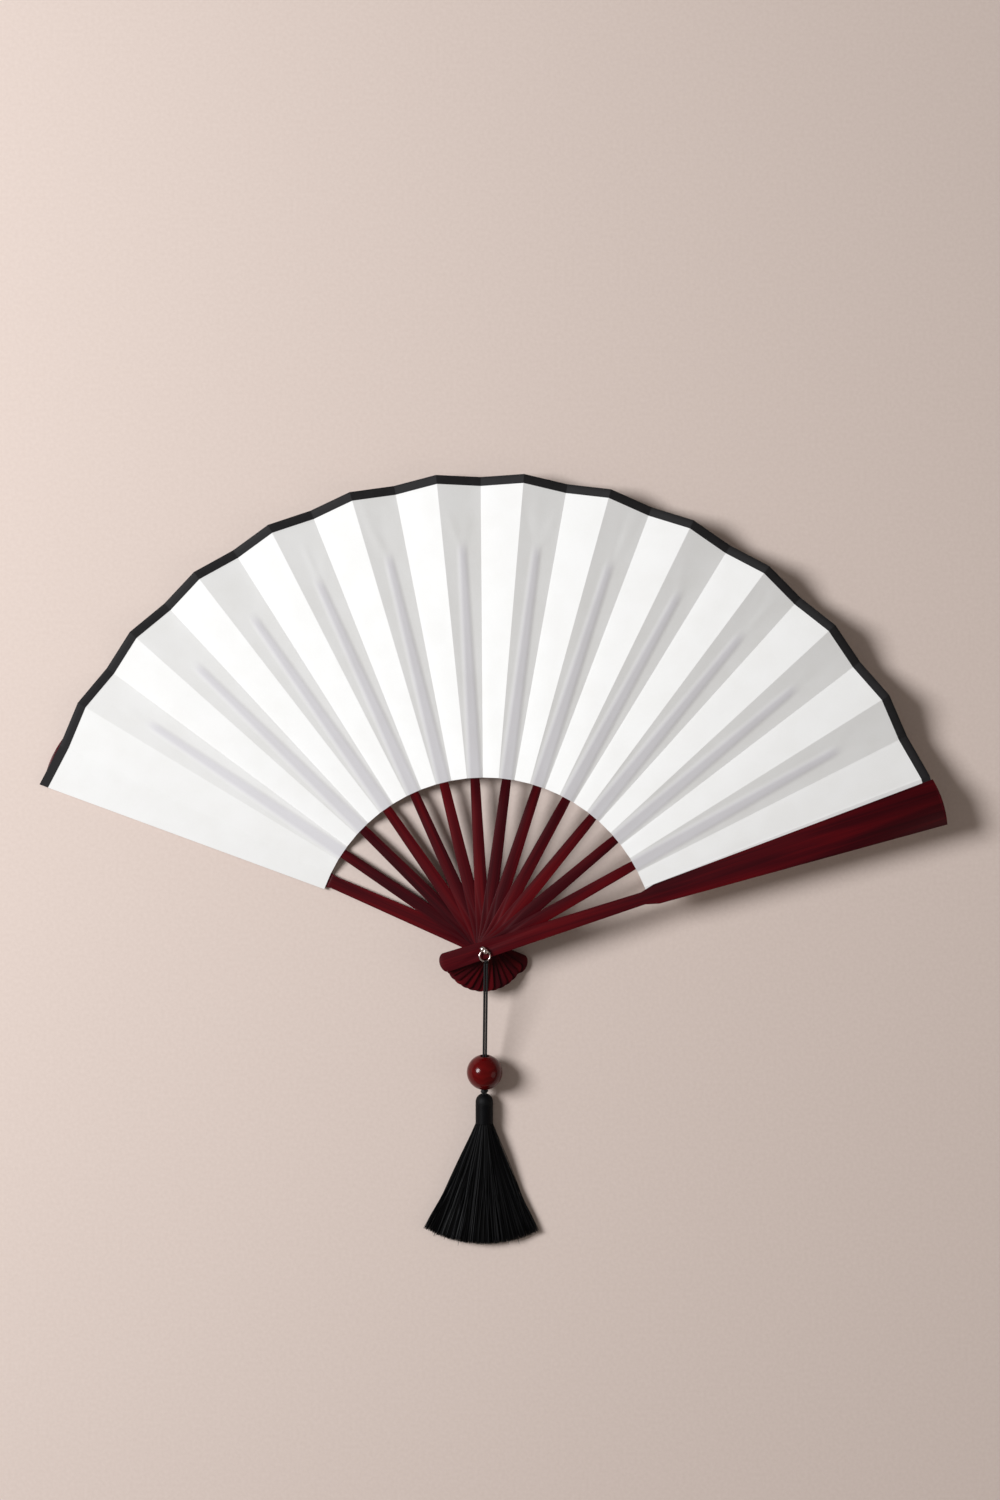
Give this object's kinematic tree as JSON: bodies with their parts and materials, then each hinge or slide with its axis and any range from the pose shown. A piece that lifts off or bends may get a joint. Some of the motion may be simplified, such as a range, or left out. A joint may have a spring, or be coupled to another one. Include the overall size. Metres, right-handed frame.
{
  "type": "folding hand fan",
  "caption": "Open folding hand fan with lacquered sticks, a pleated paper leaf edged in tape, and a beaded tassel hung from its pin.",
  "frame": {"origin": "on the axis of the pivot pin, level with the outer face of the rear guard, which lies on the table", "axes": "+Z points out of the fan's front, towards a viewer who looks down on the open fan; +X points to the right, towards the front guard's tip side; +Y points up the middle of the leaf, away from the tassel"},
  "size_m": [0.5185, 0.4436, 0.027],
  "materials": {
    "lacquered_wood": "satin",
    "leaf_paper": "matte",
    "binding_tape": "matte",
    "pin_metal": "polished",
    "black_cord": "satin",
    "tassel_silk": "satin",
    "agate": "polished"
  },
  "bodies": {
    "front_guard": {"front_guard": "lacquered_wood", "end_panel_front": "leaf_paper"},
    "rear_guard": {"rear_guard": "lacquered_wood", "end_panel_rear": "leaf_paper"},
    "rib_01": {"rib_01": "lacquered_wood"},
    "rib_panel_01": {"rib_panel_01": "leaf_paper"},
    "rib_02": {"rib_02": "lacquered_wood"},
    "rib_panel_02": {"rib_panel_02": "leaf_paper"},
    "rib_03": {"rib_03": "lacquered_wood"},
    "rib_panel_03": {"rib_panel_03": "leaf_paper"},
    "rib_04": {"rib_04": "lacquered_wood"},
    "rib_panel_04": {"rib_panel_04": "leaf_paper"},
    "rib_05": {"rib_05": "lacquered_wood"},
    "rib_panel_05": {"rib_panel_05": "leaf_paper"},
    "rib_06": {"rib_06": "lacquered_wood"},
    "rib_panel_06": {"rib_panel_06": "leaf_paper"},
    "rib_07": {"rib_07": "lacquered_wood"},
    "rib_panel_07": {"rib_panel_07": "leaf_paper"},
    "rib_08": {"rib_08": "lacquered_wood"},
    "rib_panel_08": {"rib_panel_08": "leaf_paper"},
    "rib_09": {"rib_09": "lacquered_wood"},
    "rib_panel_09": {"rib_panel_09": "leaf_paper"},
    "rib_10": {"rib_10": "lacquered_wood"},
    "rib_panel_10": {"rib_panel_10": "leaf_paper"},
    "rib_11": {"rib_11": "lacquered_wood"},
    "rib_panel_11": {"rib_panel_11": "leaf_paper"},
    "rib_12": {"rib_12": "lacquered_wood"},
    "rib_panel_12": {"rib_panel_12": "leaf_paper"},
    "fold_panel_00": {"fold_panel_00": "leaf_paper"},
    "fold_panel_01": {"fold_panel_01": "leaf_paper"},
    "fold_panel_02": {"fold_panel_02": "leaf_paper"},
    "fold_panel_03": {"fold_panel_03": "leaf_paper"},
    "fold_panel_04": {"fold_panel_04": "leaf_paper"},
    "fold_panel_05": {"fold_panel_05": "leaf_paper"},
    "fold_panel_06": {"fold_panel_06": "leaf_paper"},
    "fold_panel_07": {"fold_panel_07": "leaf_paper"},
    "fold_panel_08": {"fold_panel_08": "leaf_paper"},
    "fold_panel_09": {"fold_panel_09": "leaf_paper"},
    "fold_panel_10": {"fold_panel_10": "leaf_paper"},
    "fold_panel_11": {"fold_panel_11": "leaf_paper"},
    "fold_panel_12": {"fold_panel_12": "leaf_paper"},
    "tassel": {"pivot_pin": "pin_metal", "pin_eye": "pin_metal", "hang_ring": "pin_metal", "ring_knot": "black_cord", "cord_strand_left": "black_cord", "cord_strand_right": "black_cord", "stop_knot": "black_cord", "tassel_head": "tassel_silk", "neck_wrap": "tassel_silk", "tassel_skirt": "tassel_silk"},
    "bead": {"agate_bead": "agate"}
  },
  "joints": [
    {"name": "fan_fold", "type": "hinge", "parent": "front_guard", "child": "rear_guard", "pos_m": [0, 0, 0], "axis": [0, 0, 1], "range_deg": [-138.44, 0]},
    {"name": "rib_01_turn", "type": "hinge", "parent": "front_guard", "child": "rib_01", "pos_m": [0, 0, 0.0042], "axis": [0, 0, 1], "range_deg": [-127.58, 0.02]},
    {"name": "rib_02_turn", "type": "hinge", "parent": "front_guard", "child": "rib_02", "pos_m": [0, 0, 0.0056], "axis": [0, 0, 1], "range_deg": [-116.97, 0.02]},
    {"name": "rib_03_turn", "type": "hinge", "parent": "front_guard", "child": "rib_03", "pos_m": [0, 0, 0.007], "axis": [0, 0, 1], "range_deg": [-106.37, 0.02]},
    {"name": "rib_04_turn", "type": "hinge", "parent": "front_guard", "child": "rib_04", "pos_m": [0, 0, 0.0084], "axis": [0, 0, 1], "range_deg": [-95.76, 0.02]},
    {"name": "rib_05_turn", "type": "hinge", "parent": "front_guard", "child": "rib_05", "pos_m": [0, 0, 0.0098], "axis": [0, 0, 1], "range_deg": [-85.15, 0.02]},
    {"name": "rib_06_turn", "type": "hinge", "parent": "front_guard", "child": "rib_06", "pos_m": [0, 0, 0.0112], "axis": [0, 0, 1], "range_deg": [-74.54, 0.02]},
    {"name": "rib_07_turn", "type": "hinge", "parent": "front_guard", "child": "rib_07", "pos_m": [0, 0, 0.0126], "axis": [0, 0, 1], "range_deg": [-63.94, 0.02]},
    {"name": "rib_08_turn", "type": "hinge", "parent": "front_guard", "child": "rib_08", "pos_m": [0, 0, 0.014], "axis": [0, 0, 1], "range_deg": [-53.33, 0.02]},
    {"name": "rib_09_turn", "type": "hinge", "parent": "front_guard", "child": "rib_09", "pos_m": [0, 0, 0.0154], "axis": [0, 0, 1], "range_deg": [-42.72, 0.02]},
    {"name": "rib_10_turn", "type": "hinge", "parent": "front_guard", "child": "rib_10", "pos_m": [0, 0, 0.0168], "axis": [0, 0, 1], "range_deg": [-32.12, 0.02]},
    {"name": "rib_11_turn", "type": "hinge", "parent": "front_guard", "child": "rib_11", "pos_m": [0, 0, 0.0182], "axis": [0, 0, 1], "range_deg": [-21.51, 0.02]},
    {"name": "rib_12_turn", "type": "hinge", "parent": "front_guard", "child": "rib_12", "pos_m": [0, 0, 0.0196], "axis": [0, 0, 1], "range_deg": [-10.9, 0.02]},
    {"name": "rib_panel_01_lean", "type": "hinge", "parent": "rib_01", "child": "rib_panel_01", "pos_m": [0, 0, 0.0042], "axis": [-0.8306, 0.5569, 0], "range_deg": [-14.52, 0.02]},
    {"name": "rib_panel_02_lean", "type": "hinge", "parent": "rib_02", "child": "rib_panel_02", "pos_m": [0, 0, 0.0056], "axis": [-0.7139, 0.7003, 0], "range_deg": [-14.52, 0.02]},
    {"name": "rib_panel_03_lean", "type": "hinge", "parent": "rib_03", "child": "rib_panel_03", "pos_m": [0, 0, 0.007], "axis": [-0.5728, 0.8197, 0], "range_deg": [-14.52, 0.02]},
    {"name": "rib_panel_04_lean", "type": "hinge", "parent": "rib_04", "child": "rib_panel_04", "pos_m": [0, 0, 0.0084], "axis": [-0.4121, 0.9111, 0], "range_deg": [-14.52, 0.02]},
    {"name": "rib_panel_05_lean", "type": "hinge", "parent": "rib_05", "child": "rib_panel_05", "pos_m": [0, 0, 0.0098], "axis": [-0.2374, 0.9714, 0], "range_deg": [-14.52, 0.02]},
    {"name": "rib_panel_06_lean", "type": "hinge", "parent": "rib_06", "child": "rib_panel_06", "pos_m": [0, 0, 0.0112], "axis": [-0.0545, 0.9985, 0], "range_deg": [-14.52, 0.02]},
    {"name": "rib_panel_07_lean", "type": "hinge", "parent": "rib_07", "child": "rib_panel_07", "pos_m": [0, 0, 0.0126], "axis": [0.1302, 0.9915, 0], "range_deg": [-14.52, 0.02]},
    {"name": "rib_panel_08_lean", "type": "hinge", "parent": "rib_08", "child": "rib_panel_08", "pos_m": [0, 0, 0.014], "axis": [0.3105, 0.9506, 0], "range_deg": [-14.52, 0.02]},
    {"name": "rib_panel_09_lean", "type": "hinge", "parent": "rib_09", "child": "rib_panel_09", "pos_m": [0, 0, 0.0154], "axis": [0.4802, 0.8772, 0], "range_deg": [-14.52, 0.02]},
    {"name": "rib_panel_10_lean", "type": "hinge", "parent": "rib_10", "child": "rib_panel_10", "pos_m": [0, 0, 0.0168], "axis": [0.6334, 0.7738, 0], "range_deg": [-14.52, 0.02]},
    {"name": "rib_panel_11_lean", "type": "hinge", "parent": "rib_11", "child": "rib_panel_11", "pos_m": [0, 0, 0.0182], "axis": [0.765, 0.644, 0], "range_deg": [-14.52, 0.02]},
    {"name": "rib_panel_12_lean", "type": "hinge", "parent": "rib_12", "child": "rib_panel_12", "pos_m": [0, 0, 0.0196], "axis": [0.8705, 0.4922, 0], "range_deg": [-14.52, 0.02]},
    {"name": "fold_panel_00_crease", "type": "hinge", "parent": "rear_guard", "child": "fold_panel_00", "pos_m": [0, 0, 0.0028], "axis": [-0.9009, 0.4341, 0], "range_deg": [-164.47, 0.02], "deforming": ["fold_panel_00"]},
    {"name": "fold_panel_01_crease", "type": "hinge", "parent": "rib_panel_01", "child": "fold_panel_01", "pos_m": [0, 0, 0.0042], "axis": [-0.8036, 0.5951, -0.0121], "range_deg": [-142.54, 0.02], "deforming": ["fold_panel_01"]},
    {"name": "fold_panel_02_crease", "type": "hinge", "parent": "rib_panel_02", "child": "fold_panel_02", "pos_m": [0, 0, 0.0056], "axis": [-0.6803, 0.7328, -0.0121], "range_deg": [-142.54, 0.02], "deforming": ["fold_panel_02"]},
    {"name": "fold_panel_03_crease", "type": "hinge", "parent": "rib_panel_03", "child": "fold_panel_03", "pos_m": [0, 0, 0.007], "axis": [-0.5338, 0.8455, -0.0121], "range_deg": [-142.54, 0.02], "deforming": ["fold_panel_03"]},
    {"name": "fold_panel_04_crease", "type": "hinge", "parent": "rib_panel_04", "child": "fold_panel_04", "pos_m": [0, 0, 0.0084], "axis": [-0.369, 0.9293, -0.0121], "range_deg": [-142.54, 0.02], "deforming": ["fold_panel_04"]},
    {"name": "fold_panel_05_crease", "type": "hinge", "parent": "rib_panel_05", "child": "fold_panel_05", "pos_m": [0, 0, 0.0098], "axis": [-0.1916, 0.9814, -0.0121], "range_deg": [-142.54, 0.02], "deforming": ["fold_panel_05"]},
    {"name": "fold_panel_06_crease", "type": "hinge", "parent": "rib_panel_06", "child": "fold_panel_06", "pos_m": [0, 0, 0.0112], "axis": [-0.0077, 0.9999, -0.0121], "range_deg": [-142.54, 0.02], "deforming": ["fold_panel_06"]},
    {"name": "fold_panel_07_crease", "type": "hinge", "parent": "rib_panel_07", "child": "fold_panel_07", "pos_m": [0, 0, 0.0126], "axis": [0.1765, 0.9842, -0.0121], "range_deg": [-142.54, 0.02], "deforming": ["fold_panel_07"]},
    {"name": "fold_panel_08_crease", "type": "hinge", "parent": "rib_panel_08", "child": "fold_panel_08", "pos_m": [0, 0, 0.014], "axis": [0.3546, 0.9349, -0.0121], "range_deg": [-142.54, 0.02], "deforming": ["fold_panel_08"]},
    {"name": "fold_panel_09_crease", "type": "hinge", "parent": "rib_panel_09", "child": "fold_panel_09", "pos_m": [0, 0, 0.0154], "axis": [0.5206, 0.8537, -0.0121], "range_deg": [-142.54, 0.02], "deforming": ["fold_panel_09"]},
    {"name": "fold_panel_10_crease", "type": "hinge", "parent": "rib_panel_10", "child": "fold_panel_10", "pos_m": [0, 0, 0.0168], "axis": [0.6689, 0.7433, -0.0121], "range_deg": [-142.54, 0.02], "deforming": ["fold_panel_10"]},
    {"name": "fold_panel_11_crease", "type": "hinge", "parent": "rib_panel_11", "child": "fold_panel_11", "pos_m": [0, 0, 0.0182], "axis": [0.7943, 0.6074, -0.0121], "range_deg": [-142.54, 0.02], "deforming": ["fold_panel_11"]},
    {"name": "fold_panel_12_crease", "type": "hinge", "parent": "rib_panel_12", "child": "fold_panel_12", "pos_m": [0, 0, 0.0196], "axis": [0.8925, 0.4509, -0.0121], "range_deg": [-149.97, 0.02], "deforming": ["fold_panel_12"]},
    {"name": "tassel_swing", "type": "hinge", "parent": "front_guard", "child": "tassel", "pos_m": [0, 0, 0], "axis": [0, 0, 1], "range_deg": [-38, 70]},
    {"name": "bead_slide", "type": "slide", "parent": "tassel", "child": "bead", "axis": [0.0131, 0.9717, 0.2357], "range_m": [0, 0.028]}
  ],
  "couplings": [
    {"joint": "rib_01_turn", "follows": "fan_fold", "ratio": 0.92139},
    {"joint": "rib_02_turn", "follows": "fan_fold", "ratio": 0.84478},
    {"joint": "rib_03_turn", "follows": "fan_fold", "ratio": 0.76816},
    {"joint": "rib_04_turn", "follows": "fan_fold", "ratio": 0.69154},
    {"joint": "rib_05_turn", "follows": "fan_fold", "ratio": 0.61493},
    {"joint": "rib_06_turn", "follows": "fan_fold", "ratio": 0.53831},
    {"joint": "rib_07_turn", "follows": "fan_fold", "ratio": 0.46169},
    {"joint": "rib_08_turn", "follows": "fan_fold", "ratio": 0.38507},
    {"joint": "rib_09_turn", "follows": "fan_fold", "ratio": 0.30846},
    {"joint": "rib_10_turn", "follows": "fan_fold", "ratio": 0.23184},
    {"joint": "rib_11_turn", "follows": "fan_fold", "ratio": 0.15522},
    {"joint": "rib_12_turn", "follows": "fan_fold", "ratio": 0.078607},
    {"joint": "rib_panel_01_lean", "follows": "fan_fold", "ratio": 0.10474},
    {"joint": "rib_panel_02_lean", "follows": "fan_fold", "ratio": 0.10474},
    {"joint": "rib_panel_03_lean", "follows": "fan_fold", "ratio": 0.10474},
    {"joint": "rib_panel_04_lean", "follows": "fan_fold", "ratio": 0.10474},
    {"joint": "rib_panel_05_lean", "follows": "fan_fold", "ratio": 0.10474},
    {"joint": "rib_panel_06_lean", "follows": "fan_fold", "ratio": 0.10474},
    {"joint": "rib_panel_07_lean", "follows": "fan_fold", "ratio": 0.10474},
    {"joint": "rib_panel_08_lean", "follows": "fan_fold", "ratio": 0.10474},
    {"joint": "rib_panel_09_lean", "follows": "fan_fold", "ratio": 0.10474},
    {"joint": "rib_panel_10_lean", "follows": "fan_fold", "ratio": 0.10474},
    {"joint": "rib_panel_11_lean", "follows": "fan_fold", "ratio": 0.10474},
    {"joint": "rib_panel_12_lean", "follows": "fan_fold", "ratio": 0.10474},
    {"joint": "fold_panel_00_crease", "follows": "fan_fold", "ratio": 1.1879},
    {"joint": "fold_panel_01_crease", "follows": "fan_fold", "ratio": 1.0294},
    {"joint": "fold_panel_02_crease", "follows": "fan_fold", "ratio": 1.0294},
    {"joint": "fold_panel_03_crease", "follows": "fan_fold", "ratio": 1.0294},
    {"joint": "fold_panel_04_crease", "follows": "fan_fold", "ratio": 1.0294},
    {"joint": "fold_panel_05_crease", "follows": "fan_fold", "ratio": 1.0294},
    {"joint": "fold_panel_06_crease", "follows": "fan_fold", "ratio": 1.0294},
    {"joint": "fold_panel_07_crease", "follows": "fan_fold", "ratio": 1.0294},
    {"joint": "fold_panel_08_crease", "follows": "fan_fold", "ratio": 1.0294},
    {"joint": "fold_panel_09_crease", "follows": "fan_fold", "ratio": 1.0294},
    {"joint": "fold_panel_10_crease", "follows": "fan_fold", "ratio": 1.0294},
    {"joint": "fold_panel_11_crease", "follows": "fan_fold", "ratio": 1.0294},
    {"joint": "fold_panel_12_crease", "follows": "fan_fold", "ratio": 1.0831}
  ]
}
